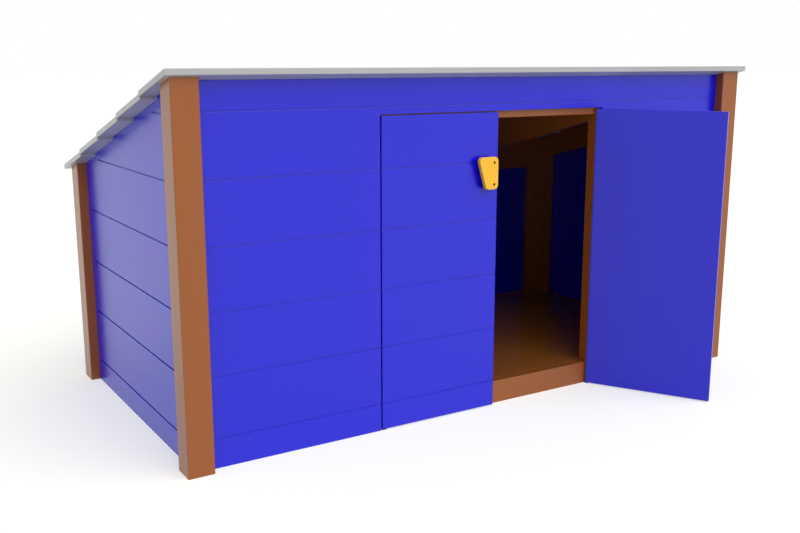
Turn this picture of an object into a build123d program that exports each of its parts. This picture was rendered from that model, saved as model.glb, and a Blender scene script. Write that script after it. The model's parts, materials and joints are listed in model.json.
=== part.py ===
"""Low lean-to shed for trikes, with a pair of front doors that turn on pivot pins.

The frame is millimetres with the ground at zero, +Z up and the doors facing -Y.
The origin is the middle of the footprint.
"""

import os
from math import cos, radians, sin, tan

from build123d import *

os.makedirs("parts", exist_ok=True)

# Footprint over the corner posts, and the height of the roof's front edge
shed_width = 2436
shed_depth = 1230
roof_front_height = 1258.5

# Corner posts, and the sheets that close the walls between them
post_size = 89
post_round = 3
wall_setback = 36
wall_sheet = 18

# Grooves milled across the outside of the sheets
groove_pitch = 206
front_groove_height = 101
side_groove_height = 91
groove_width = 6
groove_depth = 6
groove_margin = 20
groove_roof_margin = 24

# Roof of lapped boards that falls to the back
roof_slope_deg = 15
roof_board_count = 5
roof_board_thickness = 19
roof_overhang = 19
roof_back_overhang = 36
lap_step = 10
lap_length = 12

# Lumber frame behind the sheets: the doorway in the front sheet shows an edge of it
sill_height = 86
frame_opening_width = 962
door_frame_depth = 43.5
jamb_show = 15
lintel_show = 26.5
jamb_width = 89
back_rail_depth = 145
stile_width = 68
rafter_front_depth = 156
rafter_back_depth = 103

# Floor
floor_thickness = 18
bearer_width = 89
bearer_count = 3

# Doorway cut in the front sheet below the roof's front edge, and the doors that fill it
doorway_drop = 153
door_sheet = 13
door_bottom = 3.3
door_top_gap = 5
door_hinge_gap = 5.5
door_meeting_gap = 8
right_door_opening_deg = 120
left_door_opening_deg = 0

# Pivot pins at the head and the foot of each door
pin_radius = 2.5
pin_clearance = 0.05
pin_depth = 16
pivot_inset = 8
pivot_depth = 4.5
hinge_round = 3
foot_thickness = 2
foot_width = 16
foot_front = 1

# Handles cut from sheet, held off the doors by spacers that leave room for fingers
handle_height = 116
handle_top_width = 87
handle_bottom_width = 52
handle_thickness = 15
handle_corner = 16
handle_margin = 20.5
handle_drop = 213
spacer_thickness = 18
spacer_width = 24
spacer_length = 84
spacer_inset = 18

# Lines that the pieces share
left = -shed_width / 2
right = shed_width / 2
front = -shed_depth / 2
back = shed_depth / 2
wall_inside = wall_setback + wall_sheet
frame_thickness = post_size - wall_inside
inner_left = left + post_size
inner_right = right - post_size
inner_front = front + post_size
inner_back = back - post_size
doorway_width = frame_opening_width + 2 * jamb_show
doorway_height = roof_front_height - doorway_drop
lintel_height = doorway_height - lintel_show
door_top = doorway_height - door_top_gap
door_height = door_top - door_bottom
door_width = (doorway_width - door_meeting_gap) / 2 - door_hinge_gap
pivot_x = doorway_width / 2 - door_hinge_gap - pivot_inset
pivot_y = front + wall_setback + pivot_depth

# Roof lines
roof_front = front - roof_overhang
roof_back = back + roof_back_overhang
roof_fall = tan(radians(roof_slope_deg))
board_plumb = roof_board_thickness / cos(radians(roof_slope_deg))
board_cover = (roof_back - roof_front) / roof_board_count
mean_fall = roof_fall + lap_step / board_cover


def save(piece, name):
    """Label a finished piece and write it out."""
    piece.part.label = name
    export_step(piece.part, f"parts/{name}.step")


def lap_line(board):
    """Depth at which a roof board's tongue starts under the board above it."""
    return roof_front + board * board_cover - lap_length


def under_height(y, board):
    """Height of one roof board's underside at a depth."""
    return roof_front_height - board_plumb - (y - roof_front) * roof_fall - board * lap_step


def board_over(y):
    """Number of the roof board that covers a depth, counted from the front."""
    return sum(1 for board in range(1, roof_board_count) if y >= lap_line(board))


def roof_height(y):
    """Height of the roof's underside at a depth."""
    return under_height(y, board_over(y))


def roof_line(y_start, y_end):
    """Corners of the roof's stepped underside from one depth back to another."""
    corners = [(y_start, roof_height(y_start))]
    for board in range(1, roof_board_count):
        y = lap_line(board)
        if y_start < y < y_end:
            corners += [(y, under_height(y, board - 1)), (y, under_height(y, board))]
    return corners + [(y_end, roof_height(y_end))]


def slab(name, x_span, y_span, z_span):
    """A plain square-cut piece between two corners."""
    with BuildPart() as piece:
        with BuildSketch(Plane.XY.offset(z_span[0])):
            with Locations((sum(x_span) / 2, sum(y_span) / 2)):
                Rectangle(x_span[1] - x_span[0], y_span[1] - y_span[0])
        extrude(amount=z_span[1] - z_span[0])
    save(piece, name)


def profile_run(corners, x_span):
    """Run a front-to-back profile across the shed, inside the piece being built."""
    with BuildSketch(Plane.YZ.offset(x_span[0])) as profile:
        with BuildLine():
            Polyline(*corners, close=True)
        make_face()
    extrude(profile.sketch, amount=x_span[1] - x_span[0])


def under_roof(y_span, floor_corners):
    """Profile that stands on the given corners and is cut to the roof's underside."""
    return floor_corners + roof_line(*y_span)[::-1]


def standing(y_span, z_low):
    """Profile with a level foot that is cut to the roof's underside."""
    return under_roof(y_span, [(y_span[0], z_low), (y_span[1], z_low)])


def groove_heights(first, top):
    """Heights of the grooves below a sheet's top edge."""
    count = int((top - groove_margin - first) // groove_pitch) + 1
    return [first + number * groove_pitch for number in range(max(count, 0))]


def mill_groove(face, start, end, height, inward):
    """Mill one round-ended groove across the face of the sheet being built."""
    with BuildSketch(face) as groove:
        with Locations(((start + end) / 2, height)):
            SlotOverall(abs(end - start), groove_width)
    extrude(groove.sketch, amount=inward * groove_depth, mode=Mode.SUBTRACT)


# Corner posts: square lumber set plumb, with tops cut to the roof
for depth_name, post_y in (("front", front), ("back", inner_back)):
    for side_name, post_x in (("left", left), ("right", inner_right)):
        with BuildPart() as post:
            post_span = (post_y, post_y + post_size)
            profile_run(standing(post_span, 0), (post_x, post_x + post_size))
            fillet(post.edges().filter_by(Axis.Z), radius=post_round)
        save(post, f"{depth_name}_{side_name}_post")

# Bottom rails between the posts: the front one is the sill of the doorway
sill_front = front + wall_inside
sill_back = sill_front + door_frame_depth
inner_width = (inner_left, inner_right)
inner_depth = (inner_front, inner_back)
floor_depth = (sill_back, inner_back)
sill_span = (0, sill_height)
foot_span = (front + wall_setback + foot_front, sill_back)
foot_x = pivot_x + pivot_inset - foot_width / 2
with BuildPart() as sill:
    with BuildSketch(Plane.XY):
        with Locations((0, (sill_front + sill_back) / 2)):
            Rectangle(inner_right - inner_left, door_frame_depth)
    extrude(amount=sill_height)
    with BuildSketch(Plane.XY):
        with Locations((-foot_x, (sill_front + sill_back) / 2), (foot_x, (sill_front + sill_back) / 2)):
            Rectangle(foot_width, door_frame_depth)
    extrude(amount=foot_thickness, mode=Mode.SUBTRACT)
save(sill, "door_sill")
slab("back_bottom_rail", inner_width, (inner_back, back - wall_inside), sill_span)
slab("left_bottom_rail", (left + wall_inside, inner_left), inner_depth, sill_span)
slab("right_bottom_rail", (inner_right, right - wall_inside), inner_depth, sill_span)

# Floor panel level with the sill, on bearers that stand on the ground
bearer_height = sill_height - floor_thickness
bearer_spacing = (inner_right - inner_left) / bearer_count
slab("floor_panel", inner_width, floor_depth, (bearer_height, sill_height))
for number in range(bearer_count):
    bearer_x = (number - (bearer_count - 1) / 2) * bearer_spacing
    bearer_span = (bearer_x - bearer_width / 2, bearer_x + bearer_width / 2)
    slab(f"floor_bearer_{number + 1}", bearer_span, floor_depth, (0, bearer_height))

# Door frame: jambs on the sill under the lintel, which is also the front top rail
for side_name, side in (("left", -1), ("right", 1)):
    jamb_edges = (side * frame_opening_width / 2, side * (frame_opening_width / 2 + jamb_width))
    jamb_span = (min(jamb_edges), max(jamb_edges))
    slab(f"{side_name}_jamb", jamb_span, (sill_front, sill_back), (sill_height, lintel_height))
with BuildPart() as lintel:
    profile_run(standing((sill_front, sill_back), lintel_height), inner_width)
save(lintel, "door_lintel")

# Back top rail and the stiles that stand under it beside the posts
back_rail_height = roof_height(inner_back) - back_rail_depth
back_rail_span = (inner_back, back - wall_inside)
with BuildPart() as back_rail:
    profile_run(standing(back_rail_span, back_rail_height), inner_width)
save(back_rail, "back_top_rail")
back_stile_span = (sill_height, back_rail_height)
slab("back_left_stile", (inner_left, inner_left + stile_width), back_rail_span, back_stile_span)
slab("back_right_stile", (inner_right - stile_width, inner_right), back_rail_span, back_stile_span)


def side_rail_height(y):
    """Height of the side top rails' lower edge at a depth."""
    front_height = roof_height(inner_front) - rafter_front_depth
    back_height = roof_height(inner_back) - rafter_back_depth
    return front_height + (back_height - front_height) * (y - inner_front) / (inner_back - inner_front)


def side_profile(y_span):
    """Profile of a side stile between the bottom rail and the top rail."""
    foot = [(y_span[0], sill_height), (y_span[1], sill_height)]
    head = [(y, side_rail_height(y)) for y in reversed(y_span)]
    return foot + head


# Side top rails that follow the roof, and the stiles under their ends
for side_name, rail_x in (("left", left + wall_inside), ("right", inner_right)):
    rail_span = (rail_x, rail_x + frame_thickness)
    with BuildPart() as side_rail:
        lower_edge = [(y, side_rail_height(y)) for y in inner_depth]
        profile_run(under_roof(inner_depth, lower_edge), rail_span)
    save(side_rail, f"{side_name}_top_rail")
    stile_places = (("front", inner_front), ("back", inner_back - stile_width))
    for depth_name, stile_y in stile_places:
        with BuildPart() as stile:
            profile_run(side_profile((stile_y, stile_y + stile_width)), rail_span)
        save(stile, f"{side_name}_{depth_name}_stile")

# Rafters from the lintel to the back rail, in line with the jambs, with straight lower edges
rafter_edge = [
    (sill_back, roof_height(sill_back) - rafter_front_depth),
    (inner_back, roof_height(inner_back) - rafter_back_depth),
]
for side_name, rafter_x in (
    ("left", -frame_opening_width / 2 - frame_thickness),
    ("right", frame_opening_width / 2),
):
    with BuildPart() as rafter:
        profile_run(under_roof(floor_depth, rafter_edge), (rafter_x, rafter_x + frame_thickness))
    save(rafter, f"{side_name}_rafter")

# Side wall sheets, cut to the stepped roof, with grooves that stop short of the edges
for side_name, wall_x, face_x, inward in (
    ("left", left + wall_setback, left + wall_setback, 1),
    ("right", right - wall_inside, right - wall_setback, -1),
):
    with BuildPart() as side_wall:
        profile_run(standing(inner_depth, 0), (wall_x, wall_x + wall_sheet))
        for height in groove_heights(side_groove_height, roof_height(inner_front)):
            roof_reach = (roof_front_height - board_plumb - height - groove_roof_margin) / mean_fall
            groove_end = min(inner_back - groove_margin, roof_front + roof_reach)
            groove_start = inner_front + groove_margin
            if groove_end - groove_start > groove_margin:
                mill_groove(Plane.YZ.offset(face_x), groove_start, groove_end, height, inward)
    save(side_wall, f"{side_name}_wall")

# Back wall sheet
with BuildPart() as back_wall:
    profile_run(standing((back - wall_inside, back - wall_setback), 0), inner_width)
    for height in groove_heights(side_groove_height, roof_height(back - wall_setback)):
        back_ends = (inner_left + groove_margin, inner_right - groove_margin)
        mill_groove(Plane.XZ.offset(wall_setback - back), *back_ends, height, 1)
save(back_wall, "back_wall")

# Front wall sheets beside the doorway: their grooves run out into its edges
front_face = Plane.XZ.offset(-front - wall_setback)
front_span = (front + wall_setback, sill_front)
for side_name, side in (("left", -1), ("right", 1)):
    sheet_edges = sorted((side * doorway_width / 2, side * (shed_width / 2 - post_size)))
    with BuildPart() as front_wall:
        with BuildSketch(Plane.XY):
            with Locations((sum(sheet_edges) / 2, sum(front_span) / 2)):
                Rectangle(sheet_edges[1] - sheet_edges[0], wall_sheet)
        extrude(amount=doorway_height)
        for height in groove_heights(front_groove_height, doorway_height):
            groove_ends = (side * (doorway_width / 2 - groove_width), side * (inner_right - groove_margin))
            mill_groove(front_face, *groove_ends, height, -1)
    save(front_wall, f"front_{side_name}_wall")

# Front wall sheet over the doorway, drilled for the doors' upper pins
with BuildPart() as over_door:
    profile_run(standing(front_span, doorway_height), inner_width)
    grooves_below = len(groove_heights(front_groove_height, doorway_height))
    over_height = front_groove_height + grooves_below * groove_pitch
    if over_height + groove_margin < roof_height(sill_front):
        mill_groove(front_face, inner_left + groove_margin, inner_right - groove_margin, over_height, -1)
    with BuildSketch(Plane.XY.offset(doorway_height)):
        with Locations((-pivot_x, pivot_y), (pivot_x, pivot_y)):
            Circle(pin_radius + pin_clearance)
    extrude(amount=pin_depth, mode=Mode.SUBTRACT)
save(over_door, "front_top_wall")

# Roof boards from the front edge back: each one's tongue lies under the board above it
roof_width = (left - roof_overhang, right + roof_overhang)
for board in range(roof_board_count):
    board_front = roof_front + board * board_cover
    board_back = board_front + board_cover
    board_corners = [
        (board_back, under_height(board_back, board)),
        (board_back, under_height(board_back, board) + board_plumb),
        (board_front, under_height(board_front, board) + board_plumb),
    ]
    if board:
        tongue_front = board_front - lap_length
        board_corners += [
            (board_front, under_height(board_front, board) + lap_step),
            (tongue_front, under_height(tongue_front, board) + lap_step),
            (tongue_front, under_height(tongue_front, board)),
        ]
    else:
        board_corners.append((board_front, under_height(board_front, board)))
    with BuildPart() as roof_board:
        profile_run(board_corners, roof_width)
    save(roof_board, f"roof_board_{board + 1}")

# Doors with their handles and pivots, the same at each side and mirrored
for side_name, side, opening_deg in (
    ("left", -1, left_door_opening_deg),
    ("right", 1, right_door_opening_deg),
):
    heading = radians((180 if side > 0 else 0) + side * opening_deg)
    along = Vector(cos(heading), sin(heading), 0)
    outward = Vector(-sin(heading), cos(heading), 0) * side
    pivot = Vector(side * pivot_x, pivot_y, 0)
    door_plane = Plane(origin=pivot + Vector(0, 0, door_bottom), x_dir=along, z_dir=(0, 0, 1))
    face = Plane(origin=pivot + outward * pivot_depth, x_dir=along * -side, z_dir=outward)

    with BuildPart() as door:
        with BuildSketch(door_plane) as door_plan:
            with Locations((door_width / 2 - pivot_inset, side * (pivot_depth - door_sheet / 2))):
                Rectangle(door_width, door_sheet)
            hinge_corners = door_plan.vertices().group_by(Axis.X)[0].sort_by(Axis.Y)
            fillet(hinge_corners[0 if side > 0 else -1], radius=hinge_round)
        extrude(amount=door_height)
        with BuildSketch(door_plane):
            Circle(pin_radius + pin_clearance)
        extrude(amount=pin_depth, mode=Mode.SUBTRACT)
        with BuildSketch(door_plane.offset(door_height)):
            Circle(pin_radius + pin_clearance)
        extrude(amount=-pin_depth, mode=Mode.SUBTRACT)
        for height in groove_heights(front_groove_height, door_top):
            near_end = -side * (-pivot_inset - groove_width)
            far_end = -side * (door_width - pivot_inset + groove_width)
            mill_groove(face, near_end, far_end, height, -1)
    save(door, f"{side_name}_door")

    handle_edge = door_width - pivot_inset - handle_margin
    handle_middle = door_top - handle_drop
    with BuildPart() as spacer:
        with BuildSketch(face):
            with Locations((-side * (handle_edge - spacer_inset), handle_middle)):
                SlotOverall(spacer_length, spacer_width, rotation=90)
        extrude(amount=spacer_thickness)
    save(spacer, f"{side_name}_handle_spacer")

    with BuildPart() as handle:
        handle_low = handle_middle - handle_height / 2
        handle_high = handle_middle + handle_height / 2
        handle_corners = [
            (handle_edge, handle_low),
            (handle_edge, handle_high),
            (handle_edge - handle_top_width, handle_high),
            (handle_edge - handle_bottom_width, handle_low),
        ]
        with BuildSketch(face.offset(spacer_thickness)) as handle_outline:
            with BuildLine():
                Polyline(*[(-side * reach, height) for reach, height in handle_corners], close=True)
            make_face()
            fillet(handle_outline.vertices(), radius=handle_corner)
        extrude(amount=handle_thickness)
    save(handle, f"{side_name}_handle")

    with BuildPart() as top_pin:
        with BuildSketch(Plane.XY.offset(door_top - pin_depth)):
            with Locations((side * pivot_x, pivot_y)):
                Circle(pin_radius)
        extrude(amount=pin_depth + door_top_gap + pin_depth)
    save(top_pin, f"{side_name}_top_pivot")

    with BuildPart() as foot:
        with BuildSketch(Plane.XY):
            with Locations((side * foot_x, sum(foot_span) / 2)):
                Rectangle(foot_width, foot_span[1] - foot_span[0])
        extrude(amount=foot_thickness)
        with BuildSketch(Plane.XY.offset(foot_thickness)):
            with Locations((side * pivot_x, pivot_y)):
                Circle(pin_radius)
        extrude(amount=door_bottom - foot_thickness + pin_depth)
    save(foot, f"{side_name}_bottom_pivot")
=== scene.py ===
"""Looks of the trike shed, built up in the order in which the real one is put together.

Lengths are in metres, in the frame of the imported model: the ground at zero, the doors facing -Y.
"""

import json
from math import cos, radians, tan

import bmesh
import bpy
from mathutils import Matrix, Vector


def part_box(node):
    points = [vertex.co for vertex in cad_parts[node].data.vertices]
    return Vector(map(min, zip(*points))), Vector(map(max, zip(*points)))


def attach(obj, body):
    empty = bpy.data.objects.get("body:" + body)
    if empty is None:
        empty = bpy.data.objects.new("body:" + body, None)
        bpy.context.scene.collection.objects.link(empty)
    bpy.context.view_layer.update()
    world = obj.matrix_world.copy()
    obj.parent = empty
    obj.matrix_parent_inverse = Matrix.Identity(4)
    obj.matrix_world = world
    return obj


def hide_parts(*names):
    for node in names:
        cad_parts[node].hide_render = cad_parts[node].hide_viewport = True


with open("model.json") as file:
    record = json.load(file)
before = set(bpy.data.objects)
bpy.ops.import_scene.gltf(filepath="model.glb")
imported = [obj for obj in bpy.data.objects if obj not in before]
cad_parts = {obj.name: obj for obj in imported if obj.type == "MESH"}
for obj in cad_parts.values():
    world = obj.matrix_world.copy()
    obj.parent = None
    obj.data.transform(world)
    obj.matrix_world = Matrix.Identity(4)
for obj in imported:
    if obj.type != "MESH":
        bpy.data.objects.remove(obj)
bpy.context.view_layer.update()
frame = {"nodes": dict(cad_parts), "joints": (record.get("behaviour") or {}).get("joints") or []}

# Base: floor bearers and bottom rails of recycled plastic lumber, sawn to length and screwed
# together. The lumber is coloured right through. Its mould rounds the long edges and leaves a satin
# skin with faint streaks along the length, and the saw leaves the ends nearly sharp.

mm = 0.001
lumber_ease = 3 * mm
lumber_ease_steps = 4
sawn_ease = 0.8 * mm
sawn_ease_steps = 2
hard_edge_angle = radians(60)
crease_angle = radians(35)
lengthwise_cosine = 0.7
lumber_brown = "#9c5518"
lumber_streak = "#965015"
lumber_ior = 1.54
lumber_roughness = (0.23, 0.27)
streak_width = 16 * mm
streak_length = 700 * mm
streak_octaves = 5
streak_fade = 0.6
grain_size = 3 * mm
grain_octaves = 3
grain_relief = 0.15 * mm
grain_strength = 0.3
MIX_FIRST, MIX_SECOND, MIX_COLOUR = 6, 7, 2  # the Mix node's colour sockets
ACROSS, DEEP, UPRIGHT = 0, 1, 2


def srgb(code):
    """Linear colour from an sRGB hex code."""
    parts = [int(code[i:i + 2], 16) / 255 for i in (1, 3, 5)]
    return [p / 12.92 if p <= 0.04045 else ((p + 0.055) / 1.055) ** 2.4 for p in parts] + [1]


def add(material, kind, inputs=None, **settings):
    """Add a node with its settings, and give its inputs values or the sockets that feed them."""
    node = material.node_tree.nodes.new(kind)
    for name, value in settings.items():
        setattr(node, name, value)
    for socket, value in (inputs or {}).items():
        if isinstance(value, bpy.types.NodeSocket):
            material.node_tree.links.new(value, node.inputs[socket])
        else:
            node.inputs[socket].default_value = value
    return node


def bare_material(name):
    """A material with only its output, to be built up from nodes."""
    material = bpy.data.materials.new(name)
    material.use_nodes = True
    material.node_tree.nodes.remove(material.node_tree.nodes["Principled BSDF"])
    return material


def show_shader(material, shader):
    """Let a shader be the material's surface."""
    output = material.node_tree.nodes["Material Output"]
    material.node_tree.links.new(shader, output.inputs["Surface"])


def plastic_lumber(name, colour, streak_colour, along):
    """Moulded recycled plastic: faint streaks of flow along it, and a grain that softens its shine.

    The real grain is finer, and is drawn coarse enough to work at the size of the picture.
    """
    material = bare_material(name)
    place = add(material, "ShaderNodeTexCoord").outputs["Object"]
    stretch = [streak_width / streak_length if axis == along else 1 for axis in range(3)]
    flow = add(material, "ShaderNodeMapping", {"Vector": place, "Scale": stretch}).outputs["Vector"]
    streaks = add(
        material,
        "ShaderNodeTexNoise",
        {
            "Vector": flow,
            "Scale": 1 / streak_width,
            "Detail": streak_octaves,
            "Roughness": streak_fade,
        },
    ).outputs["Fac"]
    grain = add(
        material,
        "ShaderNodeTexNoise",
        {"Vector": place, "Scale": 1 / grain_size, "Detail": grain_octaves},
    ).outputs["Fac"]
    tone = add(
        material,
        "ShaderNodeMix",
        {"Factor": streaks, MIX_FIRST: srgb(colour), MIX_SECOND: srgb(streak_colour)},
        data_type="RGBA",
    ).outputs[MIX_COLOUR]
    satin = add(
        material,
        "ShaderNodeMapRange",
        {"Value": grain, "To Min": lumber_roughness[0], "To Max": lumber_roughness[1]},
    ).outputs["Result"]
    relief = add(
        material,
        "ShaderNodeBump",
        {"Height": grain, "Strength": grain_strength, "Distance": grain_relief},
    ).outputs["Normal"]
    skin = add(
        material,
        "ShaderNodeBsdfPrincipled",
        {"Base Color": tone, "Roughness": satin, "IOR": lumber_ior, "Normal": relief},
    ).outputs["BSDF"]
    show_shader(material, skin)
    return material


def soften(bm, edges, radius, steps):
    """Round the given edges to a radius."""
    bmesh.ops.bevel(
        bm,
        geom=edges,
        offset=radius,
        offset_type="OFFSET",
        affect="EDGES",
        segments=steps,
        profile=0.5,
        material=-1,
        clamp_overlap=False,
    )


def sharp_edges(bm, angle=hard_edge_angle):
    """Edges where two faces meet at more than an angle."""
    return [e for e in bm.edges if len(e.link_faces) == 2 and e.calc_face_angle() > angle]


def piece(name, bm, material, body, slot, *nodes):
    """Make a finished mesh an object that rides a body and stands for its CAD nodes."""
    bmesh.ops.recalc_face_normals(bm, faces=bm.faces)
    for face in bm.faces:
        face.smooth = True
    for edge in sharp_edges(bm, crease_angle):
        edge.smooth = False
    mesh = bpy.data.meshes.new(name)
    bm.to_mesh(mesh)
    bm.free()
    mesh.materials.append(material)
    made = bpy.data.objects.new(name, mesh)
    bpy.context.scene.collection.objects.link(made)
    flat = made.modifiers.new("flat_faces", "WEIGHTED_NORMAL")
    flat.keep_sharp = True
    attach(made, body)
    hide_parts(*nodes)
    return made


def block(low, high):
    """A square block between two corners."""
    bm = bmesh.new()
    bmesh.ops.create_cube(bm, size=1)
    bmesh.ops.scale(bm, vec=high - low, verts=bm.verts)
    bmesh.ops.translate(bm, vec=(low + high) / 2, verts=bm.verts)
    return bm


brown_lumber = [
    plastic_lumber(f"brown_plastic_lumber_{name}", lumber_brown, lumber_streak, along)
    for along, name in enumerate(("across", "deep", "upright"))
]


def lumber(node, bm, along):
    """Round a brown length along its edges, break its sawn ends, and let it stand for its node."""
    long_edges = []
    for edge in sharp_edges(bm):
        run = (edge.verts[0].co - edge.verts[1].co).normalized()
        if abs(run[along]) > lengthwise_cosine:
            long_edges.append(edge)
    soften(bm, long_edges, lumber_ease, lumber_ease_steps)
    soften(bm, sharp_edges(bm), sawn_ease, sawn_ease_steps)
    piece(f"{node}_lumber", bm, brown_lumber[along], "shed", "brown_lumber", node)


for number in (1, 2, 3):
    lumber(f"floor_bearer_{number}", block(*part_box(f"floor_bearer_{number}")), DEEP)
for side in ("left", "right"):
    lumber(f"{side}_bottom_rail", block(*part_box(f"{side}_bottom_rail")), DEEP)
lumber("back_bottom_rail", block(*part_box("back_bottom_rail")), ACROSS)

# Floor: one panel of the same plastic laid on the bearers, a darker brown as painted shade inside.
# It is cut to fit between the rails, level with their tops, and its edges are only broken.

# Painted shade: the floor's brown is darker than the lumber's, to stand for the dim inside.
shaded_floor_brown = "#88511a"
shaded_floor_streak = "#804b16"
shaded_floor_plastic = plastic_lumber("shaded_floor_brown_plastic", shaded_floor_brown, shaded_floor_streak, ACROSS)
floor_panel = block(*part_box("floor_panel"))
soften(floor_panel, sharp_edges(floor_panel), sawn_ease, sawn_ease_steps)
piece("floor_panel_sheet", floor_panel, shaded_floor_plastic, "shed", "brown_lumber", "floor_panel")

# Corner posts: square lumber stood plumb at the corners, proud of the walls on both sides.
# Their tops are sawn to the underside of the roof boards, which are lapped and fall to the back.

roof_slope = radians(15)
roof_boards = [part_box(f"roof_board_{number}") for number in (1, 2, 3, 4, 5)]


def board_underside(board, y):
    """Height of one roof board's underside at a depth."""
    low, high = board
    return low.z + (high.y - y) * tan(roof_slope)


def roof_underside(y):
    """Height of the roof's underside at a depth, under the rearmost board that reaches there."""
    return board_underside([board for board in roof_boards if board[0].y <= y][-1], y)


def trimmed_block(node):
    """A node's square block, its top sawn to the roof's slope."""
    low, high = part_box(node)
    bm = block(low, high)
    for vert in bm.verts:
        if vert.co.z > high.z - mm:
            vert.co.z = roof_underside(vert.co.y)
    return bm


for node in ("front_left_post", "front_right_post", "back_left_post", "back_right_post"):
    lumber(node, trimmed_block(node), UPRIGHT)

# Door frame: sill, jambs and lintel of flat lumber, screwed between the front posts behind the
# sheet. The sill is notched underneath for the pivots' foot plates, and its top is painted the
# floor's darker brown as painted shade. The lintel is sawn to the roof.

foot_thickness = 2 * mm
upward_cosine = 0.7


def draw_out(bm, faces, run):
    """Draw faces out along a run, and give back the points of their far end."""
    drawn = bmesh.ops.extrude_face_region(bm, geom=faces)["geom"]
    far_end = [item for item in drawn if isinstance(item, bmesh.types.BMVert)]
    bmesh.ops.translate(bm, vec=run, verts=far_end)
    return far_end


def profile_solid(outline, run):
    """Make a flat outline of points a solid by drawing it along a run."""
    bm = bmesh.new()
    bm.faces.new([bm.verts.new(corner) for corner in outline])
    draw_out(bm, bm.faces[:], run)
    bmesh.ops.recalc_face_normals(bm, faces=bm.faces)
    return bm


low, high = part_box("door_sill")
sill_outline = [(low.x, low.z)]
for foot_low, foot_high in (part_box("left_bottom_pivot"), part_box("right_bottom_pivot")):
    sill_outline += [(foot_low.x, low.z), (foot_low.x, foot_thickness)]
    sill_outline += [(foot_high.x, foot_thickness), (foot_high.x, low.z)]
sill_outline += [(high.x, low.z), (high.x, high.z), (low.x, high.z)]
sill = profile_solid([(x, low.y, z) for x, z in sill_outline], (0, high.y - low.y, 0))
top_edges = [e for e in sharp_edges(sill) if min(v.co.z for v in e.verts) > high.z - mm]
soften(sill, top_edges, lumber_ease, lumber_ease_steps)
door_sill = piece(
    "door_sill_lumber", sill, brown_lumber[ACROSS], "shed", "brown_lumber", "door_sill"
)
# Painted shade: the sill's upward faces take the floor's darker brown.
door_sill.data.materials.append(shaded_floor_plastic)
for face in door_sill.data.polygons:
    if face.normal.z > upward_cosine:
        face.material_index = 1
for node in ("left_jamb", "right_jamb"):
    lumber(node, block(*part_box(node)), UPRIGHT)
lumber("door_lintel", trimmed_block("door_lintel"), ACROSS)

# Top rails, rafters and stiles: flat lumber, screwed together, that backs the other walls and
# carries the roof. The back rail is level. The side rails, and the rafters in line with the jambs,
# are boards on edge, with their tops sawn to the roof's laps and their lower edges straight.

rafter_depths = (156 * mm, 103 * mm)
lumber("back_top_rail", trimmed_block("back_top_rail"), ACROSS)
for node in ("back_left_stile", "back_right_stile"):
    lumber(node, block(*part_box(node)), UPRIGHT)


def roof_profile(y_front, y_back):
    """Corners of the roof's stepped underside from one depth back to another."""
    corners = [(y_front, roof_underside(y_front))]
    for upper, lower in zip(roof_boards, roof_boards[1:]):
        y = lower[0].y
        if y_front < y < y_back:
            corners += [(y, board_underside(upper, y)), (y, board_underside(lower, y))]
    return corners + [(y_back, roof_underside(y_back))]


def board_on_edge(node):
    """Saw a board to the roof above it, and give back the two ends of its straight lower edge."""
    low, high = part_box(node)
    ends = [(y, roof_underside(y) - depth) for y, depth in zip((low.y, high.y), rafter_depths)]
    outline = ends + roof_profile(low.y, high.y)[::-1]
    board = profile_solid([(low.x, y, z) for y, z in outline], (high.x - low.x, 0, 0))
    soften(board, sharp_edges(board), sawn_ease, sawn_ease_steps)
    piece(f"{node}_lumber", board, brown_lumber[DEEP], "shed", "brown_lumber", node)
    return ends


for side in ("left", "right"):
    board_on_edge(f"{side}_rafter")
    (y_front, z_front), (y_back, z_back) = board_on_edge(f"{side}_top_rail")
    rail_slope = (z_back - z_front) / (y_back - y_front)
    for node in (f"{side}_front_stile", f"{side}_back_stile"):
        low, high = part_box(node)
        stile = block(low, high)
        for vert in stile.verts:
            if vert.co.z > high.z - mm:
                vert.co.z = z_front + rail_slope * (vert.co.y - y_front)
        lumber(node, stile, UPRIGHT)

# Wall sheets: blue polyethylene sheet, coloured right through, screwed to the frame from inside.
# A round-nosed cutter mills the grooves that look like boards, and stops short of the edges.
# The front is one sheet with the doorway sawn out of it.

blue_colour = "#0c08d2"
blue_shade = "#0c08d0"
sheet_ior = 1.56
sheet_roughness = (0.26, 0.27)
sheet_ease = 1.5 * mm
sheet_ease_steps = 3
shade_size = 350 * mm
shade_octaves = 3
pebble_size = 4 * mm
pebble_octaves = 2
pebble_relief = 0.05 * mm
pebble_strength = 0.02
groove_pitch = 206 * mm
groove_count = 6
front_groove_height = 101 * mm
side_groove_height = 91 * mm
groove_width = 6 * mm
front_groove_depth = 4 * mm
side_groove_depth = 6 * mm
groove_margin = 20 * mm
groove_roof_margin = 24 * mm
# The cutter's section: shares of the groove's width from its middle line, and of its depth.
groove_section = ((-0.5, 0), (-0.46, 0.9), (-0.3, 1), (0.3, 1), (0.46, 0.9), (0.5, 0))
pin_radius = 2.5 * mm
pin_clearance = 0.05 * mm
pin_depth = 16 * mm
hole_segments = 24
facing_cosine = 0.999
touch = 0.01 * mm
score_touch = 0.001 * mm


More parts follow.
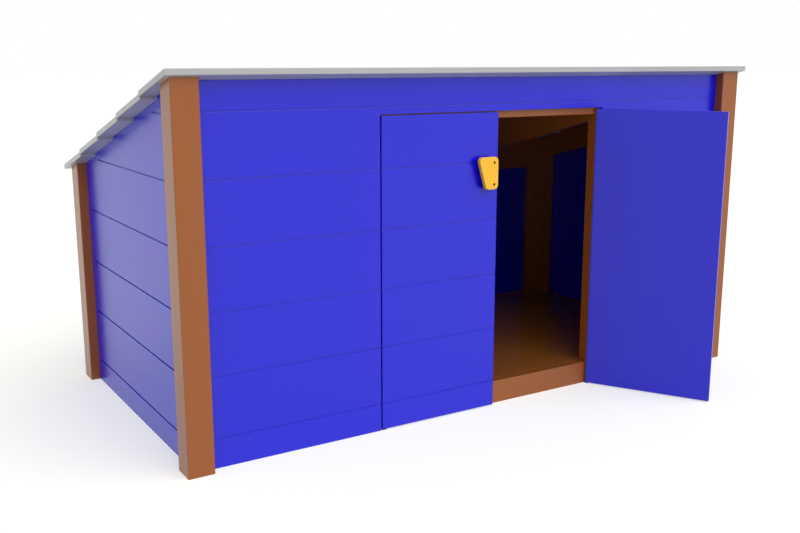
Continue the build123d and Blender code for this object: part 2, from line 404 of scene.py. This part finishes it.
def polyethylene(name, colour, shade):
    """Pressed polyethylene: a slow change of tone, and a fine pebbled skin that spreads its shine.

    The real pebbles are finer, and are drawn coarse enough to work at the size of the picture.
    """
    material = bare_material(name)
    place = add(material, "ShaderNodeTexCoord").outputs["Object"]
    drift = add(
        material,
        "ShaderNodeTexNoise",
        {"Vector": place, "Scale": 1 / shade_size, "Detail": shade_octaves},
    ).outputs["Fac"]
    pebbles = add(
        material,
        "ShaderNodeTexNoise",
        {"Vector": place, "Scale": 1 / pebble_size, "Detail": pebble_octaves},
    ).outputs["Fac"]
    tone = add(
        material,
        "ShaderNodeMix",
        {"Factor": drift, MIX_FIRST: srgb(colour), MIX_SECOND: srgb(shade)},
        data_type="RGBA",
    ).outputs[MIX_COLOUR]
    shine = add(
        material,
        "ShaderNodeMapRange",
        {"Value": drift, "To Min": sheet_roughness[0], "To Max": sheet_roughness[1]},
    ).outputs["Result"]
    relief = add(
        material,
        "ShaderNodeBump",
        {"Height": pebbles, "Strength": pebble_strength, "Distance": pebble_relief},
    ).outputs["Normal"]
    skin = add(
        material,
        "ShaderNodeBsdfPrincipled",
        {"Base Color": tone, "Roughness": shine, "IOR": sheet_ior, "Normal": relief},
    ).outputs["BSDF"]
    show_shader(material, skin)
    return material


def cut_sheet(panels, thickness, grooves, back_drop=0):
    """Saw a sheet from panels that meet, with its outer face on the local XZ plane, and score it.

    The top edge of its inner face is lower than that of the outer face by a drop.
    """
    bm = bmesh.new()
    for outline in panels:
        bm.faces.new([bm.verts.new((along, 0, height)) for along, height in outline])
    bmesh.ops.remove_doubles(bm, verts=bm.verts, dist=touch)
    scores = []
    for start, end, height in grooves:
        for share, _ in groove_section:
            scores.append(((0, 0, height + share * groove_width), (0, 0, 1)))
        for along in (start, start + groove_width / 2, end - groove_width / 2, end):
            scores.append(((along, 0, 0), (1, 0, 0)))
    for point, normal in scores:
        whole = bm.verts[:] + bm.edges[:] + bm.faces[:]
        bmesh.ops.bisect_plane(bm, geom=whole, dist=score_touch, plane_co=point, plane_no=normal)
    top = max(vert.co.z for vert in bm.verts)
    for vert in draw_out(bm, bm.faces[:], (0, thickness, 0)):
        if vert.co.z > top - touch:
            vert.co.z -= back_drop
    bmesh.ops.recalc_face_normals(bm, faces=bm.faces)
    return bm


def mill_sheet(bm, grooves, depth):
    """Break a sheet's edges, then sink its scored lines to the section of the cutter."""
    soften(bm, sharp_edges(bm), sheet_ease, sheet_ease_steps)
    for start, end, height in grooves:
        for vert in bm.verts:
            if not start + touch < vert.co.x < end - touch or vert.co.y > depth:
                continue
            for share, depth_share in groove_section:
                if abs(vert.co.z - height - share * groove_width) < touch:
                    vert.co.y = max(vert.co.y, depth_share * depth)


def drill(bm, centre, direction, radius, depth):
    """Drill a blind round hole from a point on a flat face."""
    flat = {
        face
        for face in bm.faces
        if face.normal.dot(direction) < -facing_cosine
        and abs((face.calc_center_median() - centre).dot(direction)) < touch
    }
    rim = [edge for edge in bm.edges if len(flat.intersection(edge.link_faces)) == 1]
    bmesh.ops.delete(bm, geom=list(flat), context="FACES_KEEP_BOUNDARY")
    turn = direction.to_track_quat("Z", "Y").to_matrix().to_4x4()
    mouth = bmesh.ops.create_circle(
        bm, segments=hole_segments, radius=radius, matrix=Matrix.Translation(centre) @ turn
    )["verts"]
    ring = set(mouth)
    mouth_edges = [edge for edge in bm.edges if ring.issuperset(edge.verts)]
    bmesh.ops.triangle_fill(bm, edges=rim + mouth_edges, use_beauty=True, normal=-direction)
    wall = bmesh.ops.extrude_edge_only(bm, edges=mouth_edges)["geom"]
    end_points = [item for item in wall if isinstance(item, bmesh.types.BMVert)]
    end_edges = [item for item in wall if isinstance(item, bmesh.types.BMEdge)]
    bmesh.ops.translate(bm, vec=direction * depth, verts=end_points)
    bmesh.ops.contextual_create(bm, geom=end_edges)
    bmesh.ops.recalc_face_normals(bm, faces=bm.faces)


def groove_rows(first, top):
    """Heights of the grooves below a sheet's top edge."""
    rows = [first + row * groove_pitch for row in range(groove_count)]
    return [height for height in rows if height < top - groove_margin]


blue_sheet = polyethylene("blue_polyethylene", blue_colour, blue_shade)

left_low, left_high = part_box("front_left_wall")
right_low, right_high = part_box("front_right_wall")
over_low, over_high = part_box("front_top_wall")
sheet_thickness = left_high.y - left_low.y
roof_drop = sheet_thickness * tan(roof_slope)
beside_doorway, over_doorway = (left_low.z, over_low.z), (over_low.z, over_high.z)
front_panels = []
for x_start, x_end, rows in (
    (left_low.x, left_high.x, (beside_doorway, over_doorway)),
    (left_high.x, right_low.x, (over_doorway,)),
    (right_low.x, right_high.x, (beside_doorway, over_doorway)),
):
    for z_start, z_end in rows:
        front_panels.append(
            [(x_start, z_start), (x_end, z_start), (x_end, z_end), (x_start, z_end)]
        )
front_start, front_end = left_low.x + groove_margin, right_high.x - groove_margin
front_grooves = []
for height in groove_rows(front_groove_height, over_high.z):
    if height < over_low.z:
        front_grooves.append((front_start, left_high.x + groove_width, height))
        front_grooves.append((right_low.x - groove_width, front_end, height))
    else:
        front_grooves.append((front_start, front_end, height))
front_wall = cut_sheet(front_panels, sheet_thickness, front_grooves, roof_drop)
mill_sheet(front_wall, front_grooves, front_groove_depth)
bmesh.ops.translate(front_wall, vec=(0, left_low.y, 0), verts=front_wall.verts)
for node in ("left_top_pivot", "right_top_pivot"):
    low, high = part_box(node)
    pin_hole = Vector(((low.x + high.x) / 2, (low.y + high.y) / 2, over_low.z))
    drill(front_wall, pin_hole, Vector((0, 0, 1)), pin_radius + pin_clearance, pin_depth)
front_nodes = ("front_left_wall", "front_right_wall", "front_top_wall")
piece("front_wall_sheet", front_wall, blue_sheet, "shed", "blue_sheet", *front_nodes)

board_cover = roof_boards[0][1].y - roof_boards[0][0].y
mean_fall = (roof_boards[0][0].z - roof_boards[1][0].z) / board_cover
roof_front = roof_boards[0][0].y
groove_limit = board_underside(roof_boards[0], roof_front) - groove_roof_margin
for side, inward in (("left", 1), ("right", -1)):
    low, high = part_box(f"{side}_wall")
    side_grooves = []
    for height in groove_rows(side_groove_height, high.z):
        y_start = low.y + groove_margin
        y_end = min(high.y - groove_margin, roof_front + (groove_limit - height) / mean_fall)
        side_grooves.append((*sorted((-inward * y_start, -inward * y_end)), height))
    outline = [(low.y, low.z), (high.y, low.z)] + roof_profile(low.y, high.y)[::-1]
    side_wall = cut_sheet([[(-inward * y, z) for y, z in outline]], sheet_thickness, side_grooves)
    mill_sheet(side_wall, side_grooves, side_groove_depth)
    face_x = low.x if side == "left" else high.x
    stand = Matrix.Translation((face_x, 0, 0)) @ Matrix.Rotation(-inward * radians(90), 4, "Z")
    bmesh.ops.transform(side_wall, matrix=stand, verts=side_wall.verts)
    piece(f"{side}_wall_sheet", side_wall, blue_sheet, "shed", "blue_sheet", f"{side}_wall")

low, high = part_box("back_wall")
back_top = roof_underside(high.y)
back_panel = [(low.x, low.z), (high.x, low.z), (high.x, back_top), (low.x, back_top)]
back_start, back_end = low.x + groove_margin, high.x - groove_margin
back_grooves = [(back_start, back_end, z) for z in groove_rows(side_groove_height, back_top)]
back_wall = cut_sheet([back_panel], sheet_thickness, back_grooves, -roof_drop)
mill_sheet(back_wall, back_grooves, side_groove_depth)
stand = Matrix.Translation((0, high.y, 0)) @ Matrix.Rotation(radians(180), 4, "Z")
bmesh.ops.transform(back_wall, matrix=stand, verts=back_wall.verts)
piece("back_wall_sheet", back_wall, blue_sheet, "shed", "blue_sheet", "back_wall")

# Roof: five grey boards of the same moulded plastic, laid from side to side and screwed down.
# Each one's tongue is tucked under the board above it, and the mould rounds the edges.

roof_grey = "#b6b6b7"
roof_streak = "#acacad"
board_thickness = 19 * mm
tongue_thickness = 10 * mm
board_round = 2 * mm
tongue_round = 1.2 * mm
end_round = 1.2 * mm
end_round_steps = 2
corner_steps = 5
board_plumb = board_thickness / cos(roof_slope)
grey_lumber = plastic_lumber("grey_plastic_lumber", roof_grey, roof_streak, ACROSS)


def rounded_outline(corners):
    """A flat outline whose corners are each cut back by their own distance and rounded."""
    bm = bmesh.new()
    verts = [bm.verts.new(point) for point, _ in corners]
    bm.faces.new(verts)
    for vert, (_, distance) in zip(verts, corners):
        if distance:
            bmesh.ops.bevel(
                bm,
                geom=[vert],
                offset=distance,
                offset_type="OFFSET",
                affect="VERTICES",
                segments=corner_steps,
                profile=0.5,
                material=-1,
            )
    return bm


for number, board in enumerate(roof_boards):
    low, high = board
    body_front = roof_front + number * board_cover
    section = [
        (high.y, 0, board_round),
        (high.y, board_plumb, board_round),
        (body_front, board_plumb, 0 if number else board_round),
    ]
    if number:
        section += [
            (body_front, tongue_thickness, 0),
            (low.y, tongue_thickness, tongue_round),
            (low.y, 0, tongue_round),
        ]
    else:
        section.append((body_front, 0, board_round))
    roof_board = rounded_outline(
        [((low.x, y, board_underside(board, y) + up), distance) for y, up, distance in section]
    )
    draw_out(roof_board, roof_board.faces[:], (high.x - low.x, 0, 0))
    bmesh.ops.recalc_face_normals(roof_board, faces=roof_board.faces)
    ends = [e for e in roof_board.edges if abs(e.verts[0].co.x - e.verts[1].co.x) < mm]
    soften(roof_board, ends, end_round, end_round_steps)
    name = f"roof_board_{number + 1}"
    piece(f"{name}_lumber", roof_board, grey_lumber, "shed", "roof_grey_board", name)

# Doors: a pair cut from the same blue polyethylene, thinner than the walls, grooved right across.
# Each turns on pins let into its top and bottom edges, and is rounded at the hinge to clear the
# frame. The left one is shut and the right one stands open.

door_hinge_round = 3 * mm
door_hinge_steps = 5
joints = {joint["child"]: joint for joint in frame["joints"]}
left_pivot = Vector(joints["left_door"]["pos_m"])
right_pivot = Vector(joints["right_door"]["pos_m"])
shut_angle, open_angle = joints["right_door"]["range_deg"]
right_opening = Matrix.Rotation(radians(open_angle - shut_angle), 3, "Z")


def to_right_door(bm):
    """Mirror a piece of the shut left door, and swing it to where the right door stands."""
    bmesh.ops.scale(bm, vec=(-1, 1, 1), verts=bm.verts)
    bmesh.ops.rotate(bm, cent=right_pivot, matrix=right_opening, verts=bm.verts)
    bmesh.ops.reverse_faces(bm, faces=bm.faces)


low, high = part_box("left_door")
door_thickness = high.y - low.y
door_panel = [(low.x, low.z), (high.x, low.z), (high.x, high.z), (low.x, high.z)]
door_start, door_end = low.x - groove_width, high.x + groove_width
door_grooves = [(door_start, door_end, z) for z in groove_rows(front_groove_height, high.z)]
for side in ("left", "right"):
    door = cut_sheet([door_panel], door_thickness, door_grooves)
    hinge_edges = [
        edge
        for edge in sharp_edges(door)
        if all(v.co.x < low.x + mm and v.co.y > door_thickness - mm for v in edge.verts)
    ]
    soften(door, hinge_edges, door_hinge_round, door_hinge_steps)
    mill_sheet(door, door_grooves, front_groove_depth)
    bmesh.ops.translate(door, vec=(0, low.y, 0), verts=door.verts)
    for height, direction in ((low.z, 1), (high.z, -1)):
        pin_hole = Vector((left_pivot.x, left_pivot.y, height))
        drill(door, pin_hole, Vector((0, 0, direction)), pin_radius + pin_clearance, pin_depth)
    if side == "right":
        to_right_door(door)
    piece(f"{side}_door_sheet", door, blue_sheet, f"{side}_door", "blue_sheet", f"{side}_door")

# Handles: wedges routed from thick yellow sheet, rounded at the corners, near the meeting edges.
# A spacer of the same sheet holds each one off its door, so that fingers fit behind it. Two bronzed
# socket screws, sunk in drilled recesses, go through the spacer.

yellow_colour = "#fdc01d"
yellow_shade = "#fabb19"
handle_top_width = 87 * mm
handle_bottom_width = 52 * mm
handle_corner = 16 * mm
handle_ease = 2.5 * mm
handle_ease_steps = 4
spacer_round_steps = 8
recess_radius = 5 * mm
recess_depth = 5 * mm
screw_bronze = "#4c2604"
screw_roughness = 0.5
screw_inset = 18 * mm
screw_drop = 20 * mm
screw_rise = 18 * mm
screw_radius = 4.6 * mm
screw_height = 3 * mm
screw_ease = 0.5 * mm
screw_ease_steps = 2
screw_rim = 0.9 * screw_radius
socket_depth = 2 * mm
socket_inset = 1.6 * mm
tool_mark_size = 1.5 * mm
tool_mark_octaves = 2
tool_mark_roughness = 0.12
yellow_sheet = polyethylene("yellow_polyethylene", yellow_colour, yellow_shade)


def machined_steel(name, colour, roughness):
    """Turned steel: an even satin with slight patches of duller tool marks.

    The real marks are finer, and are drawn as coarse as they need to be to show at all.
    """
    material = bare_material(name)
    place = add(material, "ShaderNodeTexCoord").outputs["Object"]
    marks = add(
        material,
        "ShaderNodeTexNoise",
        {"Vector": place, "Scale": 1 / tool_mark_size, "Detail": tool_mark_octaves},
    ).outputs["Fac"]
    satin = add(
        material,
        "ShaderNodeMapRange",
        {"Value": marks, "To Min": roughness, "To Max": roughness + tool_mark_roughness},
    ).outputs["Result"]
    skin = add(
        material,
        "ShaderNodeBsdfPrincipled",
        {"Base Color": srgb(colour), "Metallic": 1, "Roughness": satin},
    ).outputs["BSDF"]
    show_shader(material, skin)
    return material


bronzed_steel = machined_steel("bronzed_steel", screw_bronze, screw_roughness)
low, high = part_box("left_handle")
spacer_low, spacer_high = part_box("left_handle_spacer")
spacer_round = (spacer_high.x - spacer_low.x) / 2
outward = Vector((0, -1, 0))
screw_places = [
    Vector((high.x - screw_inset, low.y, high.z - screw_drop)),
    Vector((high.x - screw_inset, low.y, low.z + screw_rise)),
]
wedge = [
    Vector((high.x, low.y, low.z)),
    Vector((high.x, low.y, high.z)),
    Vector((high.x - handle_top_width, low.y, high.z)),
    Vector((high.x - handle_bottom_width, low.y, low.z)),
]
# Each corner is cut back to where a round of the handle's corner radius meets its two sides.
wedge_corners = []
for before, corner, after in zip(wedge[-1:] + wedge, wedge, wedge[1:] + wedge):
    corner_angle = (before - corner).angle(after - corner)
    wedge_corners.append((corner, handle_corner / tan(corner_angle / 2)))


def screw_head(place):
    """A round screw head at the bottom of the recess drilled at a place, with a round socket."""
    head = bmesh.new()
    middle = place - outward * (recess_depth - screw_height / 2)
    bmesh.ops.create_cone(
        head,
        cap_ends=True,
        segments=hole_segments,
        radius1=screw_radius,
        radius2=screw_radius,
        depth=screw_height,
        matrix=Matrix.Translation(middle) @ Matrix.Rotation(radians(90), 4, "X"),
    )
    crown = [face for face in head.faces if face.normal.dot(outward) > facing_cosine]
    bmesh.ops.inset_region(head, faces=crown, thickness=socket_inset)
    draw_out(head, crown, -outward * socket_depth)
    bmesh.ops.delete(head, geom=crown, context="FACES")
    rim = [
        edge
        for edge in sharp_edges(head)
        if all((v.co - place).xz.length > screw_rim for v in edge.verts)
    ]
    soften(head, rim, screw_ease, screw_ease_steps)
    return head


for side in ("left", "right"):
    spacer = block(spacer_low, spacer_high)
    spacer_corners = [e for e in spacer.edges if abs(e.verts[0].co.y - e.verts[1].co.y) > mm]
    soften(spacer, spacer_corners, spacer_round, spacer_round_steps)
    bmesh.ops.remove_doubles(spacer, verts=spacer.verts, dist=touch)
    handle = rounded_outline(wedge_corners)
    draw_out(handle, handle.faces[:], (0, high.y - low.y, 0))
    bmesh.ops.recalc_face_normals(handle, faces=handle.faces)
    front_rim = [e for e in sharp_edges(handle) if all(v.co.y < low.y + mm for v in e.verts)]
    soften(handle, front_rim, handle_ease, handle_ease_steps)
    screws = bmesh.new()
    for place in screw_places:
        drill(handle, place, -outward, recess_radius, recess_depth)
        head = screw_head(place)
        head_mesh = bpy.data.meshes.new("screw_head")
        head.to_mesh(head_mesh)
        head.free()
        screws.from_mesh(head_mesh)
        bpy.data.meshes.remove(head_mesh)
    if side == "right":
        for bm in (spacer, handle, screws):
            to_right_door(bm)
    body = f"{side}_door"
    for name, bm in (("handle_spacer", spacer), ("handle", handle)):
        piece(f"{side}_{name}_sheet", bm, yellow_sheet, body, "yellow_sheet", f"{side}_{name}")
    piece(f"{side}_handle_screws", screws, bronzed_steel, body, "pivot_steel")

# Pivots: turned steel pins at the head and foot of each door, shown as the CAD has them.
# The upper ones are driven into the sheet over the doorway. The lower ones stand on foot plates
# that are let into the sill.

# Painted shade: the pins are a dark grey so that they read as the shade of the gaps they sit in.
pin_shade_grey = "#4e4a48"
pin_roughness = 0.45
turned_steel = machined_steel("turned_steel", pin_shade_grey, pin_roughness)
for node in ("left_top_pivot", "right_top_pivot", "left_bottom_pivot", "right_bottom_pivot"):
    for slot in frame["nodes"][node].material_slots:
        slot.material = turned_steel

# Studio: a white floor that keeps the shed's soft shadow, an even white surround, and one broad
# lamp above the front and a little to the right. The camera, and what mirrors, see the floor lifted
# to white.

floor_drop = 0.5 * mm
floor_reach = 100
floor_bounce = "#d3d3d3"
floor_shown = "#d2d2cb"
floor_lift = 0.42
surround_white = "#ffffff"
surround_fill = 0.53
surround_shown = 1
lamp_strength = 2.12
lamp_spread = radians(75)
lamp_elevation = radians(50)
lamp_bearing = radians(13)


def shown_rays(material):
    """One for the rays of the camera, mirrors and glass, and zero for the light on surfaces."""
    path = add(material, "ShaderNodeLightPath").outputs
    shown = path["Is Camera Ray"]
    for ray in ("Is Glossy Ray", "Is Transmission Ray"):
        both = add(material, "ShaderNodeMath", {0: shown, 1: path[ray]}, operation="MAXIMUM")
        shown = both.outputs["Value"]
    return shown


floor_mesh = bmesh.new()
bmesh.ops.create_grid(floor_mesh, x_segments=1, y_segments=1, size=floor_reach)
bmesh.ops.translate(floor_mesh, vec=(0, 0, -floor_drop), verts=floor_mesh.verts)
mesh = bpy.data.meshes.new("studio_floor")
floor_mesh.to_mesh(mesh)
floor_mesh.free()
studio_floor = bpy.data.objects.new("studio_floor", mesh)
bpy.context.scene.collection.objects.link(studio_floor)
floor_paint = bare_material("floor_white_paint")
shown = shown_rays(floor_paint)
tone = add(
    floor_paint,
    "ShaderNodeMix",
    {"Factor": shown, MIX_FIRST: srgb(floor_bounce), MIX_SECOND: srgb(floor_shown)},
    data_type="RGBA",
).outputs[MIX_COLOUR]
lift = add(floor_paint, "ShaderNodeMath", {0: shown, 1: floor_lift}, operation="MULTIPLY")
paint = add(floor_paint, "ShaderNodeBsdfDiffuse", {"Color": tone})
glow = add(floor_paint, "ShaderNodeEmission", {"Strength": lift.outputs["Value"]})
lifted = add(
    floor_paint,
    "ShaderNodeAddShader",
    {0: paint.outputs["BSDF"], 1: glow.outputs["Emission"]},
)
show_shader(floor_paint, lifted.outputs["Shader"])
mesh.materials.append(floor_paint)

surround = bpy.data.worlds.new("white_surround")
surround.use_nodes = True
bpy.context.scene.world = surround
strength = add(
    surround,
    "ShaderNodeMapRange",
    {"Value": shown_rays(surround), "To Min": surround_fill, "To Max": surround_shown},
).outputs["Result"]
backdrop = surround.node_tree.nodes["Background"]
backdrop.inputs["Color"].default_value = srgb(surround_white)
surround.node_tree.links.new(strength, backdrop.inputs["Strength"])

lamp = bpy.data.lights.new("front_softbox", "SUN")
lamp.energy = lamp_strength
lamp.angle = lamp_spread
softbox = bpy.data.objects.new("front_softbox", lamp)
softbox.rotation_euler = (radians(90) - lamp_elevation, 0, lamp_bearing)
bpy.context.scene.collection.objects.link(softbox)

# Camera: just above the roof's front edge, in front of the shed and past its left end.
# It looks to the right and a little down, as the photograph does.

camera_place = (-2.1444, -3.3417, 1.2771)
camera_heading = radians(31.99)
camera_dip = radians(12.0)
camera_lens_mm = 43.42
camera_sensor_mm = 36
optics = bpy.data.cameras.new("camera")
optics.lens = camera_lens_mm
optics.sensor_width = camera_sensor_mm
camera = bpy.data.objects.new("camera", optics)
camera.location = camera_place
camera.rotation_euler = (radians(90) - camera_dip, 0, -camera_heading)
bpy.context.scene.collection.objects.link(camera)
bpy.context.scene.camera = camera
bpy.context.scene.view_settings.view_transform = "Standard"
